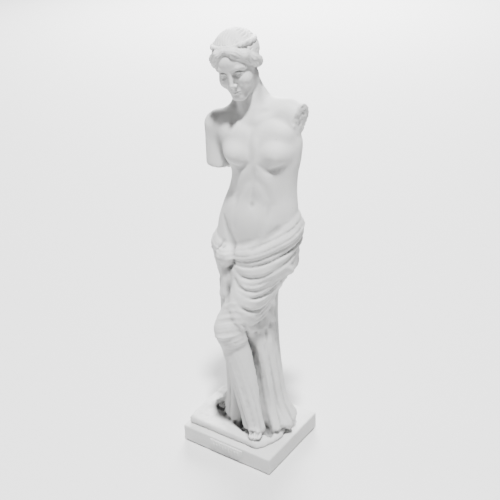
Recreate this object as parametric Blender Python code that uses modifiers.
"""Aphrodite statue: a half-draped classical goddess on a thin ground slab, standing on a plinth with a tablet."""
import math

import bmesh
import bpy
import numpy as np
from mathutils import Matrix, Vector
from mathutils.bvhtree import BVHTree

# Overall sizes in metres
OVERALL_HEIGHT = 0.301
PLINTH_WIDTH = 0.075
PLINTH_DEPTH = 0.064
PLINTH_HEIGHT = 0.013
PLINTH_EDGE = 0.0011
TABLET_WIDTH = 0.028
TABLET_HEIGHT = 0.0074
TABLET_RAISE = 0.0010
TABLET_OFFSET = (0.0008, 0.0009)
PIECE_GAP = 0.0003

# How fine the carving is taken, in millimetres, and how many triangles the finished figure keeps
ROUGH_GRAIN = 2.2
FINE_GRAIN = 1.25
FIGURE_TRIANGLES = 9400

# The figure is shaped in millimetres of a statue 301 mm tall and scaled to OVERALL_HEIGHT at the end.
# Its front looks along -Y, her left is +X and heights are measured from under the plinth.
NOMINAL_HEIGHT = 301.0
SLAB_LOW = 13.3
SLAB_HIGH = 18.5
# Corners of the slab's underside, each with how far the side after it leans in towards the top
SLAB_OUTLINE = [(-35.5, -27.5), (24.6, -27.5), (30.2, -19.3), (33.9, -9.2), (28.6, 7.3), (19.5, 28.5), (-30, 28.5),
                (-36.5, 12)]
SLAB_LEAN = (0.4, 3.0, 4.5, 3.0, 1.0, 0.4, 0.8, 0.6)
SIDES = (-1, 1)

# Sections of the trunk: height, centre x, centre y, half-width, front depth, back depth, facing in degrees
TRUNK = [
    (140, 5.6, 1.6, 21.5, 17.0, 17.5, 4),
    (152, 8.2, 2.6, 28.0, 18.6, 20.5, 4),
    (164, 9.7, 2.8, 28.9, 18.0, 20.0, 4),
    (178, 11.4, 2.5, 28.2, 16.2, 17.0, 4),
    (190, 13.6, 2.0, 25.6, 15.2, 14.0, 5),
    (202, 15.7, 2.2, 22.6, 13.8, 12.6, 8),
    (212, 16.8, 2.6, 21.8, 14.2, 12.8, 10),
    (224, 15.6, 3.0, 24.8, 15.6, 14.6, 13),
    (236, 13.6, 3.6, 26.4, 14.4, 15.2, 14),
    (246, 11.0, 4.2, 22.6, 10.8, 12.5, 14),
    (254, 8.6, 3.8, 11.0, 8.0, 9.5, 14),
]

# Sections of the hanging cloth round the legs
SKIRT = [
    (18, 7.2, 2.6, 25.5, 18.5, 21.0, 0),
    (35, 5.4, 2.2, 19.5, 16.5, 18.5, 0),
    (60, 4.6, 1.4, 17.0, 15.0, 16.5, 0),
    (95, 3.6, 1.0, 16.5, 15.0, 15.0, 0),
    (110, 3.4, 1.0, 16.8, 15.0, 15.0, 0),
    (125, 3.8, 1.2, 17.8, 15.5, 15.5, 3),
    (140, 5.6, 1.6, 21.0, 17.0, 17.5, 4),
    (150, 8.2, 2.4, 28.0, 18.0, 20.0, 4),
]

# Edges of the wrapped band of cloth round the hips: degrees from the front, height
BAND_TOP = [(-180, 177), (-120, 169), (-70, 164), (-30, 162), (0, 165), (35, 171), (75, 181), (100, 185), (140, 183),
            (180, 177)]
BAND_LOW = [(-180, 160), (-120, 154), (-70, 152), (-30, 153), (0, 150), (35, 152), (75, 161), (100, 167), (140, 166),
            (180, 160)]

# The head: its middle, and how it is turned, nodded and leant
HEAD_AT = (2.8, -3.2, 281.0)
HEAD_YAW = 17
HEAD_NOD = 15
HEAD_LEAN = -11


# Curves and blends


def smooth_min(a, b, k):
    """The smaller of two distances, rounded where they meet over a width k."""
    h = np.clip(0.5 + 0.5 * (b - a) / k, 0, 1)
    return b * (1 - h) + a * h - k * h * (1 - h)


def ease(t):
    t = np.clip(t, 0, 1)
    return t * t * (3 - 2 * t)


def turn(yaw=0, pitch=0, roll=0):
    """A rotation: roll about Y, then pitch about X, then yaw about Z, in degrees."""
    m = (Matrix.Rotation(math.radians(yaw), 3, "Z")
         @ Matrix.Rotation(math.radians(pitch), 3, "X")
         @ Matrix.Rotation(math.radians(roll), 3, "Y"))
    return np.array(m)


def smooth_table(z, zs, rows):
    """Rows of numbers read off smoothly between the places they are given at."""
    zs = np.asarray(zs, float)
    rows = np.asarray(rows, float)
    slope = np.gradient(rows, zs, axis=0)
    z = np.clip(z, zs[0], zs[-1])
    i = np.clip(np.searchsorted(zs, z, side="right") - 1, 0, len(zs) - 2)
    h = zs[i + 1] - zs[i]
    t = ((z - zs[i]) / h)[:, None]
    h = h[:, None]
    return ((2 * t**3 - 3 * t**2 + 1) * rows[i] + (t**3 - 2 * t**2 + t) * h * slope[i]
            + (-2 * t**3 + 3 * t**2) * rows[i + 1] + (t**3 - t**2) * h * slope[i + 1])


def through(points, step):
    """A smooth curve through a few points."""
    pts = np.array(points, float)
    where = np.arange(len(pts), dtype=float)
    at = np.linspace(0, len(pts) - 1, step * (len(pts) - 1) + 1)
    if len(pts) == 2:
        return pts[0] + (pts[1] - pts[0]) * at[:, None]
    return smooth_table(at, where, pts)


def family(first, last, count, sway=0.0):
    """Curves spaced evenly between two edge curves that have the same number of points."""
    a = np.array(first, float)
    b = np.array(last, float)
    for k in range(count):
        wander = np.sin(2.4 * k + np.arange(len(a)))[:, None] * np.array([1, 0.6])
        yield a + (b - a) * k / max(1, count - 1) + sway * wander


def scatter(k, seed=0):
    """A repeatable number between -1 and 1."""
    v = math.sin(12.9898 * (k + 1) + 78.233 * seed) * 43758.5453
    return 2 * (v - math.floor(v)) - 1


# Masses: each knows its distance field, its box and a rough block to start from


def unit_sphere(divisions):
    bm = bmesh.new()
    bmesh.ops.create_icosphere(bm, subdivisions=divisions, radius=1.0)
    verts = np.array([v.co[:] for v in bm.verts])
    faces = [tuple(v.index for v in f.verts) for f in bm.faces]
    bm.free()
    return verts, faces


ROUND = unit_sphere(2)


class Ball:
    """An ellipsoid."""

    def __init__(self, at, size, blend, rot=None, cut=False):
        self.at = np.array(at, float)
        self.size = np.array(size, float)
        self.rot = np.eye(3) if rot is None else rot
        self.blend = blend
        self.cut = cut

    def field(self, p):
        q = (p - self.at) @ self.rot
        k0 = np.linalg.norm(q / self.size, axis=1)
        k1 = np.linalg.norm(q / self.size**2, axis=1)
        return k0 * (k0 - 1) / np.maximum(k1, 1e-9)

    def box(self):
        r = np.abs(self.rot) @ self.size
        return self.at - r, self.at + r

    def blocks(self):
        verts, faces = ROUND
        return [((verts * self.size) @ self.rot.T + self.at, faces)]


class Limb:
    """A tapered round limb between two points."""

    def __init__(self, a, b, ra, rb, blend, cut=False):
        self.a = np.array(a, float)
        self.b = np.array(b, float)
        self.ra = ra
        self.rb = rb
        self.blend = blend
        self.cut = cut

    def field(self, p):
        ab = self.b - self.a
        t = np.clip((p - self.a) @ ab / (ab @ ab), 0, 1)
        return np.linalg.norm(p - self.a - t[:, None] * ab, axis=1) - (self.ra + (self.rb - self.ra) * t)

    def box(self):
        return np.minimum(self.a - self.ra, self.b - self.rb), np.maximum(self.a + self.ra, self.b + self.rb)

    def blocks(self):
        verts, faces = ROUND
        count = 2 + int(np.linalg.norm(self.b - self.a) / (0.6 * min(self.ra, self.rb)))
        out = []
        for t in np.linspace(0, 1, min(count, 16)):
            out.append((verts * (self.ra + (self.rb - self.ra) * t) + self.a + (self.b - self.a) * t, faces))
        return out


class Loft:
    """A body of oval sections stacked in height."""

    def __init__(self, stations, blend, square=2.2):
        s = np.array(stations, float)
        self.z = s[:, 0]
        self.rows = s[:, 1:]
        self.blend = blend
        self.square = square
        self.cut = False

    def at(self, z):
        return smooth_table(z, self.z, self.rows)

    def field(self, p):
        r = self.at(p[:, 2])
        yaw = np.radians(r[:, 5])
        dx = p[:, 0] - r[:, 0]
        dy = p[:, 1] - r[:, 1]
        u = dx * np.cos(yaw) + dy * np.sin(yaw)
        v = dy * np.cos(yaw) - dx * np.sin(yaw)
        depth = np.where(v < 0, r[:, 3], r[:, 4])
        n = self.square
        rho = (np.abs(u / r[:, 2])**n + np.abs(v / depth)**n)**(1 / n)
        side = (rho - 1) * np.minimum(r[:, 2], depth)
        over = np.maximum(p[:, 2] - self.z[-1], self.z[0] - p[:, 2])
        return -smooth_min(-side, -over, 4.0)

    def box(self):
        big = self.rows[:, 2:5].max()
        low = self.rows[:, :2].min(0) - big
        high = self.rows[:, :2].max(0) + big
        return np.array([*low, self.z[0]]), np.array([*high, self.z[-1]])

    def blocks(self):
        count = 32
        rings = 24
        verts = []
        for z in np.linspace(self.z[0], self.z[-1], rings):
            x, y, a, front, back, yaw = self.at(np.array([z]))[0]
            spin = turn(yaw=yaw)
            for k in range(count):
                t = 2 * math.pi * k / count
                v = math.sin(t) * (front if math.sin(t) < 0 else back)
                verts.append(spin @ np.array([a * math.cos(t), v, 0.0]) + (x, y, z))
        faces = []
        for ring in range(rings - 1):
            for k in range(count):
                low = ring * count
                nxt = (k + 1) % count
                faces.append((low + k, low + nxt, low + count + nxt, low + count + k))
        faces.append(tuple(reversed(range(count))))
        faces.append(tuple(range((rings - 1) * count, rings * count)))
        return [(np.array(verts), faces)]


class Ground:
    """The thin slab of rock under her feet: straight-sided, its top rising a little at the back."""

    cut = False
    blend = 1.4

    def field(self, p):
        pts = np.array(SLAB_OUTLINE, float)
        d = np.full(len(p), -1e3)
        height = np.clip((p[:, 2] - SLAB_LOW) / (SLAB_HIGH - SLAB_LOW), 0, 1)
        for a, b, lean in zip(pts, np.roll(pts, -1, axis=0), SLAB_LEAN):
            along = (b - a) / np.linalg.norm(b - a)
            out = np.array([along[1], -along[0]])
            d = -smooth_min(-d, -((p[:, :2] - a) @ out + lean * height), 1.2)
        rise = 2.4 * ease((0.6 * p[:, 1] - p[:, 0] - 6) / 34)
        d = -smooth_min(-d, -(p[:, 2] - SLAB_HIGH - rise), 1.2)
        return -smooth_min(-d, -(SLAB_LOW - p[:, 2]), 0.5)

    def box(self):
        pts = np.array(SLAB_OUTLINE, float)
        return np.array([*pts.min(0), SLAB_LOW]), np.array([*pts.max(0), SLAB_HIGH + 3])

    def blocks(self):
        low = [(x, y, SLAB_LOW) for x, y in SLAB_OUTLINE]
        high = [(x, y, SLAB_HIGH + 1) for x, y in SLAB_OUTLINE]
        n = len(low)
        faces = [(k, (k + 1) % n, n + (k + 1) % n, n + k) for k in range(n)]
        faces += [tuple(reversed(range(n))), tuple(range(n, 2 * n))]
        return [(np.array(low + high, float), faces)]


class Stump(Limb):
    """A limb that ends at b in a flat break."""

    def __init__(self, a, b, ra, rb, blend, facing=None):
        a = np.array(a, float)
        b = np.array(b, float)
        reach = (b - a) / np.linalg.norm(b - a)
        super().__init__(a, b + reach * rb, ra, rb, blend)
        self.end = b
        self.out = reach if facing is None else np.array(facing, float) / np.linalg.norm(facing)

    def field(self, p):
        return -smooth_min(-super().field(p), -((p - self.end) @ self.out), 0.8)

    def blocks(self):
        return [(v, f) for v, f in super().blocks() if ((v.mean(0) - self.end) @ self.out) < -0.7 * self.rb]


def near_masses(masses, p, pad):
    out = []
    for m in masses:
        low, high = m.box()
        reach = m.blend + pad
        near = np.where(np.all((p > low - reach) & (p < high + reach), axis=1))[0]
        if len(near):
            out.append((m, near))
    return out


def total_field(near, p):
    """All the masses joined softly in order, with the cuts taken off where they come."""
    d = np.full(len(p), 1e3)
    for m, i in near:
        f = m.field(p[i])
        if m.cut:
            d[i] = -smooth_min(-d[i], f, m.blend)
        else:
            d[i] = smooth_min(d[i], f, m.blend)
    return d


def settle(masses, p, steps, most):
    """Draws points onto the surface where the joined distance is nought."""
    e = 0.15
    near = near_masses(masses, p, 4 + most)
    for _ in range(steps):
        d = total_field(near, p)
        g = np.stack([(total_field(near, p + e * axis) - d) / e for axis in np.eye(3)], 1)
        size = np.maximum((g * g).sum(1), 0.15)
        p = p - g * (np.clip(d, -most, most) / size)[:, None]
    return p


def march(masses, start, aim):
    """From outside, walks each ray inwards until it meets the joined surface."""
    p = start.copy()
    for _ in range(48):
        near = near_masses(masses, p, 8)
        d = np.clip(total_field(near, p), -3, 3)
        p = p + aim * (0.8 * d)[:, None]
    return p


def chain(points, radii, blend):
    """A row of tapered limbs through a list of points."""
    radii = np.interp(np.linspace(0, 1, len(points)), np.linspace(0, 1, len(radii)), radii)
    return [Limb(a, b, ra, rb, blend) for a, b, ra, rb in zip(points, points[1:], radii, radii[1:])]


# The figure's own places

TRUNK_LOFT = Loft(TRUNK, blend=4)
HEAD_TURN = turn(HEAD_YAW, HEAD_NOD, HEAD_LEAN)


def head(*at):
    return np.array(HEAD_AT) + HEAD_TURN @ np.array(at, float)


def chest(x, y, z):
    row = TRUNK_LOFT.at(np.array([float(z)]))[0]
    return np.array([row[0], row[1], z]) + turn(yaw=row[5]) @ np.array([x, y, 0.0])


def axis_at(z):
    """The upright line, bending with the body, that cloth angles are measured about."""
    table = [(18, 6, 1), (130, 6, 1.2), (165, 9.5, 2.4), (202, 16, 2.2), (240, 12, 3.6)]
    table = np.array(table, float)
    return smooth_table(z, table[:, 0], table[:, 1:])


def around(points, step):
    """Rays towards the body at given degrees from the front and heights."""
    at = through(points, step)
    a = np.radians(at[:, 0])
    aim = np.stack([-np.sin(a), np.cos(a), np.zeros(len(a))], 1)
    centre = np.column_stack([axis_at(at[:, 1]), at[:, 1]])
    return centre, aim


def torso():
    m = [
        TRUNK_LOFT,
        Limb(chest(-6, 1.5, 248), chest(-25.5, 1.5, 241.5), 7.2, 8.4, 5),
        Limb(chest(6, 1.5, 251), chest(21, 2, 252.5), 7.0, 7.4, 5),
        Limb(head(0, 7, -15), chest(-15, 4, 249), 5.6, 3.6, 5),
        Limb(head(0, 7, -15), chest(13, 4, 252), 4.6, 3.0, 4),
        Ball(chest(-12, -5, 239), (12, 8, 8), 5),
        Ball(chest(12, -5, 241), (12, 8, 8), 5),
    ]
    for s in SIDES:
        low = 228.5 + s
        m += [
            Ball(chest(s * 12.4, -8.4, low), (9.6, 9.6, 8.8), 3.6),
            Ball(chest(s * 14.0, -16.7, low - 1), (1.3, 1.1, 1.3), 1.3),
            Ball(chest(s * 12, 12, 235.5 + 1.5 * s), (9, 4, 11), 5),
            Ball(chest(s * 6, -7.8, 206), (6, 6, 13), 6),
        ]
    m += [
        Ball(chest(0, -9.0, 182), (14.5, 7.6, 13), 8),
        Limb(chest(0, 1.5, 247), head(0, 4, -9), 8.4, 7.8, 5),
    ]
    for s in SIDES:
        m += [
            Limb(chest(s * 1.5, -7.0, 248.5), head(s * 7.5, 3, -8), 1.6, 2.6, 4),
            Limb(chest(s * 3, -8.3, 248), chest(s * 19.5, -3.2, 250.5 + 3 * s), 1.5, 1.6, 2.6),
        ]
    m.append(Ball(chest(0.6, -16.0, 195.5), (1.3, 3.0, 1.7), 1.0, cut=True))
    return m


def arms():
    """The right upper arm ends in a flat break, the left is broken off at the shoulder."""
    return [
        Stump(chest(-28.8, 1.5, 240), chest(-32.6, 0.2, 213.2), 8.0, 7.5, 4, (-0.1, -0.06, -1)),
        Stump(chest(12, 3, 251.5), chest(29.8, 1.0, 249.4), 7.2, 9.0, 4, (0.96, -0.05, -0.1)),
    ]


def legs():
    """Her weight on the right leg, the left knee bent forward under the cloth."""
    return [
        Limb((-4.0, 4, 156), (-8, 3, 96), 15.5, 10.0, 6),
        Limb((-8, 3, 96), (-12.0, 7, 28), 9.0, 6.5, 6),
        Limb((20, 1, 156), (2.0, -20.0, 103), 15.0, 11.2, 6),
        Limb((2.0, -20.0, 103), (15, -15, 28), 10.4, 7.2, 6),
        Limb((15, -14, 25), (20.5, -21.5, 21.5), 6.0, 3.2, 4),
        Limb((-12.0, 6, 25), (-20, -3, 21.5), 6.0, 3.0, 3),
    ]


def toes(at, aim, side):
    """Five small toes in a fan at the end of a foot."""
    aim = np.array(aim, float) / np.linalg.norm(aim)
    across = np.array([-aim[1], aim[0], 0.0]) * side
    out = []
    for k in range(5):
        start = np.array(at) + across * (k - 2) * 1.6
        tip = start + aim * (4.4, 4.2, 3.7, 3.0, 2.1)[k] + np.array([0, 0, -0.5])
        out.append(Limb(start, tip, 1.5 - 0.12 * k, (1.3, 1.0, 0.95, 0.9, 0.85)[k], 0.35))
    return out


EYE_AT = (4.75, -10.3, 0.4)
EYE_SIZE = (3.0, 2.5, 2.6)


def eye_point(side, sweep, rise, out):
    """sweep runs outwards from the nose and rise upwards, in degrees; out is 1 on the ball."""
    a = math.radians(sweep)
    b = math.radians(rise)
    aim = (math.sin(a) * math.cos(b), -math.cos(a) * math.cos(b), math.sin(b))
    at = [c + out * size * d for c, size, d in zip(EYE_AT, EYE_SIZE, aim)]
    return side * at[0], at[1], at[2]


def face_and_skull():
    r = HEAD_TURN
    m = [
        Ball(head(0, 2, 6), (12.0, 15.5, 12.6), 3, r),
        Ball(head(0, -3.4, -2), (10.4, 11.0, 15.2), 3, r),
        Ball(head(0, -4.2, 7), (10.6, 10.4, 8), 3, r),
        Ball(head(0, -11.4, -15.0), (3.6, 3.0, 2.8), 2.4, r),
    ]
    for s in SIDES:
        m += [
            Limb(head(s * 7.4, 0, -9), head(s * 2.6, -10, -15.2), 2.8, 2.4, 3),
            Ball(head(s * 6.3, -9.2, -5.0), (3.5, 3.8, 4.2), 3, r),
            Limb(head(s * 1.8, -13.5, 3.9), head(s * 5.4, -12.9, 4.6), 0.9, 0.9, 2.0),
            Limb(head(s * 5.4, -12.9, 4.6), head(s * 8.6, -10.0, 3.5), 0.9, 0.8, 2.0),
            Ball(head(s * 4.7, -14.6, 0.7), (3.1, 2.7, 2.3), 1.8, r, cut=True),
            Ball(head(*eye_point(s, 0, 0, 0)), EYE_SIZE, 0.3, r),
        ]
    m += [
        Limb(head(0, -13.6, 4.2), head(0, -16.3, -4.4), 1.05, 1.2, 1.6),
        Ball(head(0, -16.4, -5.3), (1.5, 1.4, 1.3), 1.0, r),
        Limb(head(0, -15.0, -6.4), head(0, -14.3, -8.6), 0.7, 0.6, 1.2),
        Ball(head(0, -10.6, -10.4), (5.2, 3.9, 4.0), 2.5, r),
    ]
    for s in SIDES:
        m += [
            Ball(head(s * 1.65, -14.9, -5.9), (1.0, 1.5, 1.05), 0.9, r),
            Limb(head(s * 0.4, -14.65, -9.5), head(s * 3.4, -13.2, -10.3), 0.62, 0.25, 0.5),
            Limb(head(0, -14.5, -11.4), head(s * 2.8, -13.4, -10.9), 0.85, 0.3, 0.5),
        ]
    for s in SIDES:
        m.append(Limb(head(0, -15.3, -10.4), head(s * 3.7, -13.5, -10.6), 0.30, 0.15, 0.3, cut=True))
    m.append(Ball(head(0, -15.6, -13.0), (2.4, 1.2, 0.8), 1.2, r, cut=True))
    return m


ROLL = [(0.8, -10.2, 14.8), (5.0, -10.4, 13.0), (8.9, -7.2, 9.2), (10.8, -2.4, 4.4), (10.9, 4.2, -1.0),
        (7.6, 11.3, -4.6), (2.5, 16.2, -4.8)]
ROLL_RADII = (2.1, 2.9, 3.2, 3.2, 2.7)
BUN_AT = (0, 19.6, -2.5)
BUN_SIZE = (6.6, 6.0, 6.2)


def hair():
    m = [Ball(head(-0.3, 4.2, 6.6), (13.5, 16.3, 13.3), 0.3, HEAD_TURN)]
    for s in SIDES:
        m += chain([head(s * x, y, z) for x, y, z in ROLL], ROLL_RADII, 0.8)
    ring = []
    for k in range(25):
        a = 2 * math.pi * k / 24
        ring.append(head(12.1 * math.sin(a), 4.6 - 13.9 * math.cos(a), 12.4 + 4.0 * math.cos(a)))
    m += chain(ring, (1.15, 1.15), 0.4)
    m.append(Ball(head(*BUN_AT), BUN_SIZE, 0.8, HEAD_TURN))
    return m


def wrapped_cloth(body):
    """The thick rolled band round the hips, its knot and the short end hanging from it."""
    middle = (np.array(BAND_TOP) + np.array(BAND_LOW)) / 2
    centre, aim = around(middle, 4)
    ring = march(body, centre - aim * 60, aim) + aim * 4.8
    centre, aim = around([(-27, 157), (-28, 147), (-25, 137), (-28, 127)], 4)
    tail = march(body, centre - aim * 60, aim)
    return (chain(ring, (5.6, 5.6), 2.0) + [Ball(tail[0] - aim[0] * 2.5, (5.4, 4.6, 5.0), 1.2)]
            + chain(tail, (2.4, 3.2, 3.8), 1.5))


# From masses to a mesh


def blockout(name, masses):
    """The rough blocks of all the masses in one mesh."""
    verts = []
    faces = []
    for m in masses:
        if m.cut:
            continue
        for points, loops in m.blocks():
            start = len(verts)
            verts += [tuple(v) for v in points]
            faces += [tuple(start + k for k in loop) for loop in loops]
    me = bpy.data.meshes.new(name)
    me.from_pydata(verts, [], faces)
    ob = bpy.data.objects.new(name, me)
    COLLECTION.objects.link(ob)
    return ob


def points_of(ob):
    co = np.empty(len(ob.data.vertices) * 3, np.float32)
    ob.data.vertices.foreach_get("co", co)
    return co.reshape(-1, 3).astype(float)


def normals_of(ob):
    n = np.empty(len(ob.data.vertices) * 3, np.float32)
    ob.data.vertex_normals.foreach_get("vector", n)
    return n.reshape(-1, 3).astype(float)


def set_points(ob, p):
    ob.data.vertices.foreach_set("co", p.astype(np.float32).ravel())
    ob.data.update()


def apply_modifier(ob, kind, **settings):
    """Adds one modifier, then keeps its result as the object's mesh."""
    mod = ob.modifiers.new(kind.title(), kind)
    for key, value in settings.items():
        setattr(mod, key, value)
    graph = bpy.context.evaluated_depsgraph_get()
    fresh = bpy.data.meshes.new_from_object(ob.evaluated_get(graph))
    ob.modifiers.clear()
    old = ob.data
    ob.data = fresh
    bpy.data.meshes.remove(old)


def remesh(ob, grain):
    apply_modifier(ob, "REMESH", mode="VOXEL", voxel_size=grain, adaptivity=0.0)


# Carving: strokes laid on the surface


class Skin:
    """The surface that strokes are laid on."""

    def __init__(self, ob):
        self.tree = BVHTree.FromPolygons([v.co[:] for v in ob.data.vertices],
                                         [f.vertices[:] for f in ob.data.polygons])

    def cast(self, centre, aim):
        out = []
        for c, a in zip(centre, aim):
            hit = self.tree.ray_cast(Vector(c - a * 90), Vector(a))[0]
            out.append(hit[:] if hit else tuple(c - a * 12))
        return np.array(out)

    def wrap(self, points, step=8):
        """A path given in degrees from the front and heights."""
        return self.cast(*around(points, step))

    def crown(self, points, step=6):
        """A path on the head, in degrees round from the face and degrees up."""
        at = np.radians(through(points, step))
        aim = np.stack([-np.sin(at[:, 0]) * np.cos(at[:, 1]), np.cos(at[:, 0]) * np.cos(at[:, 1]),
                        -np.sin(at[:, 1])], 1) @ HEAD_TURN.T
        return self.cast(np.tile(head(0, 3, 4), (len(aim), 1)), aim)


class Stroke:
    """crest moves the top of the ridge to one side, and power rounds it: 0.5 is a tube, 1 a soft swell."""

    def __init__(self, path, widths, height, crest=0.0, power=0.5, groove=False):
        self.path = path
        self.widths = np.array(widths, float)
        self.height = height
        self.crest = crest
        self.power = power
        self.groove = groove

    def finely(self):
        """The path in half-millimetre steps, its direction, and its half-width all along."""
        run = np.r_[0, np.cumsum(np.linalg.norm(np.diff(self.path, axis=0), axis=1))]
        count = max(4, int(run[-1] / 0.5))
        at = np.linspace(0, run[-1], count)
        path = np.stack([np.interp(at, run, self.path[:, k]) for k in range(3)], 1)
        tangent = np.gradient(path, axis=0)
        tangent /= np.maximum(np.linalg.norm(tangent, axis=1), 1e-9)[:, None]
        share = np.linspace(0, 1, len(self.widths))
        width = smooth_table(np.linspace(0, 1, count), share, self.widths[:, None])[:, 0]
        return path, tangent, np.maximum(width, 0.05)


def nearest(p, path):
    best = np.empty(len(p), int)
    for a in range(0, len(p), 4000):
        best[a:a + 4000] = ((p[a:a + 4000, None, :] - path[None])**2).sum(2).argmin(1)
    return best


def carve(p, n, strokes, blend=0.4):
    up = np.zeros(len(p))
    down = np.zeros(len(p))
    for s in strokes:
        path, tangent, width = s.finely()
        reach = width.max() + 3
        near = np.where(np.all((p > path.min(0) - reach) & (p < path.max(0) + reach), axis=1))[0]
        if not len(near):
            continue
        best = nearest(p[near], path)
        v = p[near] - path[best]
        along = (v * n[near]).sum(1)
        side = np.cross(n[near], tangent[best])
        side /= np.maximum(np.linalg.norm(side, axis=1), 1e-9)[:, None]
        across = (v * side).sum(1)
        past = np.maximum(np.abs((v * tangent[best]).sum(1)) - 0.3, 0)
        x = np.hypot(across, past) * np.where(across < 0, -1, 1) / width[best]
        inside = (np.abs(x) < 1) & (np.abs(along) < 1.2 + 1.2 * width[best])
        x = x[inside]
        u = np.where(x < s.crest, (s.crest - x) / (1 + s.crest), (x - s.crest) / (1 - s.crest))
        lift = s.height * width[best][inside] / width.max() * np.maximum(1 - u * u, 0)**s.power
        near = near[inside]
        if s.groove:
            down[near] = np.maximum(down[near], lift)
        else:
            up[near] = -smooth_min(-up[near], -lift, blend * min(1, s.height))
    return p + n * (up - down)[:, None]


def band_and_swags(skin):
    s = []
    for k, path in enumerate(family(BAND_TOP, BAND_LOW, 6, 0.9)):
        widths = [2.2, 2.0 + 0.4 * scatter(k), 2.5, 2.1]
        s.append(Stroke(skin.wrap(path), widths, 2.0 + 0.5 * scatter(k, 7), -0.25, 0.6))
    first = [(102, 168), (72, 158), (36, 149), (4, 148), (-22, 156)]
    last = [(108, 134), (88, 112), (52, 101), (16, 111), (-20, 145)]
    for k, path in enumerate(family(first, last, 8, 1.4)):
        widths = [1.8, 2.6, 3.1 + 0.5 * scatter(k), 2.4, 1.3]
        s.append(Stroke(skin.wrap(path), widths, 2.6 + 0.6 * scatter(k, 1), 0.35, 0.6))
    for path in family([(-24, 146), (-22, 132), (-16, 118)], [(-34, 150), (-44, 128), (-40, 104)], 5, 1.0):
        s.append(Stroke(skin.wrap(path), [0.8, 1.3, 0.8], 1.1, 0.2, 0.7))
    for path in family([(-40, 164), (-30, 161), (-20, 159)], [(-40, 152), (-30, 150), (-18, 148)], 5, 0.8):
        s.append(Stroke(skin.wrap(path), [0.8, 1.3, 0.8], 1.1, 0.3, 0.6))
    return s


def long_folds(skin):
    s = []
    first = [(26, 106), (44, 88), (57, 60), (60, 22)]
    last = [(98, 118), (100, 90), (106, 60), (114, 22)]
    for k, path in enumerate(family(first, last, 5, 1.5)):
        s.append(Stroke(skin.wrap(path), [0.8, 1.8, 2.5, 3.6 + 0.6 * scatter(k)], 3.8 + 0.8 * scatter(k, 2),
                        0.3 * (-1)**k, 0.7))
    first = [(-36, 148), (-46, 110), (-42, 60), (-36, 22)]
    last = [(-118, 156), (-116, 110), (-118, 60), (-122, 22)]
    for k, path in enumerate(family(first, last, 9, 1.5)):
        s.append(Stroke(skin.wrap(path), [1.2, 1.8, 2.2, 2.6 + 0.5 * scatter(k)], 2.6 + 0.6 * scatter(k, 3),
                        0.25 * (-1)**k, 0.7))
    first = [(126, 164), (122, 90), (122, 22)]
    last = [(234, 158), (232, 90), (230, 22)]
    for k, path in enumerate(family(first, last, 9, 1.8)):
        s.append(Stroke(skin.wrap(path), [1.6, 2.6, 3.0], 2.4 + 0.4 * scatter(k, 4), 0.25 * (-1)**k))
    for path in family([(-20, 98), (-10, 60), (4, 24)], [(10, 90), (32, 55), (44, 24)], 5, 1.2):
        s.append(Stroke(skin.wrap(path), [0.5, 1.3, 2.0], 1.2, 0.2, 0.8))
    for path in family([(26, 122), (4, 124), (-20, 116)], [(30, 104), (6, 103), (-20, 100)], 3):
        s.append(Stroke(skin.wrap(path), [0.5, 1.4, 0.5], 0.9, 0.3, 0.8))
    return s


def swallow_tails(skin):
    s = []
    z = 150.0
    for k in range(9):
        drop = 13.6 - 0.2 * k
        right = [(78, z + 2), (90, z - 0.30 * drop), (104, z - 0.62 * drop)]
        left = [(106, z - 0.5 * drop), (93, z - 0.85 * drop), (80, z - 1.1 * drop)]
        s.append(Stroke(skin.wrap(right), [2.4, 2.6, 1.6], 2.2, 0.5))
        s.append(Stroke(skin.wrap(left), [1.6, 2.2, 2.0], 1.5, -0.5))
        z -= drop
    return s


def valleys(skin):
    return [
        Stroke(skin.wrap([(-34, 112), (-24, 60), (-12, 20)]), [1.0, 2.4, 2.8], 4.6, 0, 0.8, True),
        Stroke(skin.wrap([(20, 112), (44, 70), (53, 20)]), [1.0, 2.6, 3.2], 7.0, 0, 0.8, True),
        Stroke(skin.wrap([(182, 186), (180, 210), (180, 240)]), [3.0, 4.0, 3.0], 1.2, 0, 1.0, True),
    ]


def body_lines(skin):
    """The soft lines of the bare body: down the middle, under the ribs and breasts, over the hips."""
    s = [Stroke(skin.wrap([(14, 241), (13, 226), (10, 213), (8, 205), (7, 201)]), [1.5, 3.2, 3.0, 2.0, 1.2], 0.6, 0,
                1.0, True)]
    for side in SIDES:
        lines = (([(10 + 4 * side, 214), (9 + 24 * side, 208), (8 + 44 * side, 197)], [2.0, 3.6, 2.0], 0.7),
                 ([(8 + 40 * side, 203), (6 + 37 * side, 191), (5 + 30 * side, 178)], [2.0, 3.2, 2.0], 0.5),
                 ([(13 + 14 * side, 222.5), (13 + 34 * side, 218.6), (13 + 56 * side, 223)], [2.0, 2.8, 2.0], 0.8),
                 ([(5 + 58 * side, 180), (4 + 40 * side, 171), (4 + 22 * side, 165)], [3.0, 3.6, 3.0], 0.9))
        s += [Stroke(skin.wrap(path), widths, deep, 0, 1.0, True) for path, widths, deep in lines]
    return s


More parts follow.
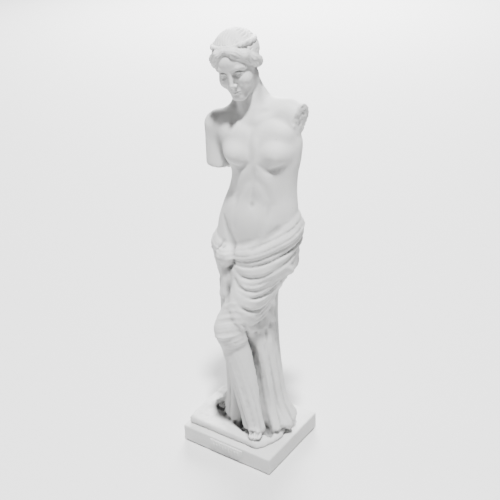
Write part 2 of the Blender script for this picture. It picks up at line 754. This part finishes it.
def roll_locks():
    s = []
    c = through(ROLL, 14)
    r = np.interp(np.linspace(0, 1, len(c)), np.linspace(0, 1, len(ROLL_RADII)), ROLL_RADII)
    t = np.gradient(c, axis=0)
    t /= np.linalg.norm(t, axis=1)[:, None]
    out = c - np.array([0, 3, 3.5])
    out -= (out * t).sum(1)[:, None] * t
    out /= np.linalg.norm(out, axis=1)[:, None]
    across = np.cross(t, out)
    run = np.r_[0, np.cumsum(np.linalg.norm(np.diff(c, axis=0), axis=1))]
    for side in SIDES:
        for k in range(7):
            phi = np.radians(-85 + 28 * k + 13 * np.sin(run / 1.35 + 0.5 * k) * ease(run / 6))
            q = c + r[:, None] * (np.cos(phi)[:, None] * out + np.sin(phi)[:, None] * across)
            q[:, 0] *= side
            s.append(Stroke(np.array([head(*v) for v in q]), [0.5, 1.0, 1.1, 1.0, 0.9, 0.7], 0.75, 0.3, 0.6))
    return s


def crown_locks(skin):
    s = []
    for k in range(-11, 12):
        tilt = 7.6 * k
        th = np.radians(np.linspace(52 + 0.16 * abs(tilt), 171, 28))
        b = math.radians(tilt) + 0.035 * np.sin(th * 9 + k)
        aim = np.stack([np.sin(b) * np.sin(th), -np.cos(th), np.cos(b) * np.sin(th)], 1) @ HEAD_TURN.T
        path = skin.cast(np.tile(head(0, 3, 4), (len(aim), 1)), -aim)
        s.append(Stroke(path, [0.8, 1.1, 1.1, 0.8, 0.3], 0.6, 0.25, 0.7))
    return s


def figure():
    body = torso() + arms() + legs() + [Loft(SKIRT, 6), Ground()] + face_and_skull() + hair()
    body += toes((19.0, -20.0, 21.0), (0.35, -1, 0), 1) + toes((-18.6, -1.4, 21.4), (-0.55, -1, 0), -1)
    masses = body + wrapped_cloth(body)
    ob = blockout("figure", masses)
    remesh(ob, ROUGH_GRAIN)
    set_points(ob, settle(masses, points_of(ob), 4, 3.0))
    remesh(ob, FINE_GRAIN)
    set_points(ob, settle(masses, points_of(ob), 3, 1.5))
    skin = Skin(ob)
    set_points(ob, carve(points_of(ob), normals_of(ob), body_lines(skin), 1.0))
    strokes = band_and_swags(skin) + long_folds(skin) + swallow_tails(skin) + valleys(skin)
    strokes += roll_locks()[::2] + crown_locks(skin)[::2]
    set_points(ob, carve(points_of(ob), normals_of(ob), strokes))
    remesh(ob, FINE_GRAIN)
    ratio = FIGURE_TRIANGLES / sum(len(f.vertices) - 2 for f in ob.data.polygons)
    apply_modifier(ob, "DECIMATE", decimate_type="COLLAPSE", ratio=ratio, use_collapse_triangulate=True)
    # bring the crown of the head to the stated height and the underside to its place above the plinth
    p = points_of(ob)
    low = p[:, 2].min()
    rise = (OVERALL_HEIGHT - PLINTH_HEIGHT - PIECE_GAP) / (p[:, 2].max() - low)
    up = (p[:, 2] - low) * rise + PLINTH_HEIGHT + PIECE_GAP
    p = np.column_stack([p[:, :2] * OVERALL_HEIGHT / NOMINAL_HEIGHT, up])
    under = p[:, 2] < PLINTH_HEIGHT + PIECE_GAP + 0.00045
    p[under, 2] = PLINTH_HEIGHT + PIECE_GAP
    set_points(ob, p)
    return ob


def box(bm, size, centre):
    corner = Matrix.Translation(Vector(centre)) @ Matrix.Diagonal((*size, 1.0))
    bmesh.ops.create_cube(bm, size=1.0, matrix=corner)


def mesh_object(name, bm):
    me = bpy.data.meshes.new(name)
    bm.to_mesh(me)
    bm.free()
    ob = bpy.data.objects.new(name, me)
    COLLECTION.objects.link(ob)
    return ob


def plinth():
    """A plain block with softened edges and a raised tablet on its front."""
    bm = bmesh.new()
    box(bm, (PLINTH_WIDTH, PLINTH_DEPTH, PLINTH_HEIGHT), (0, 0, PLINTH_HEIGHT / 2))
    ob = mesh_object("plinth", bm)
    apply_modifier(ob, "BEVEL", width=PLINTH_EDGE, segments=3, limit_method="ANGLE")
    bm = bmesh.new()
    depth = 2 * TABLET_RAISE
    middle = (TABLET_OFFSET[0], -PLINTH_DEPTH / 2, PLINTH_HEIGHT / 2 + TABLET_OFFSET[1])
    box(bm, (TABLET_WIDTH, depth, TABLET_HEIGHT), middle)
    tablet = mesh_object("tablet", bm)
    apply_modifier(tablet, "BEVEL", width=TABLET_RAISE * 0.5, segments=2, limit_method="ANGLE")
    apply_modifier(ob, "BOOLEAN", operation="UNION", object=tablet, solver="EXACT")
    bpy.data.objects.remove(tablet)
    return ob


def cast_stone(name, colour):
    mat = bpy.data.materials.new(name)
    mat.use_nodes = True
    shader = mat.node_tree.nodes["Principled BSDF"]
    shader.inputs["Base Color"].default_value = (*colour, 1.0)
    shader.inputs["Roughness"].default_value = 0.62
    return mat


for old in list(bpy.data.objects):
    bpy.data.objects.remove(old)
COLLECTION = bpy.data.collections.new("Aphrodite statue")
bpy.context.scene.collection.children.link(COLLECTION)

goddess = figure()
goddess.data.materials.append(cast_stone("Figure cast stone", (0.78, 0.78, 0.77)))
block = plinth()
block.data.materials.append(cast_stone("Plinth cast stone", (0.76, 0.76, 0.75)))
for piece in (goddess, block):
    for face in piece.data.polygons:
        face.use_smooth = True
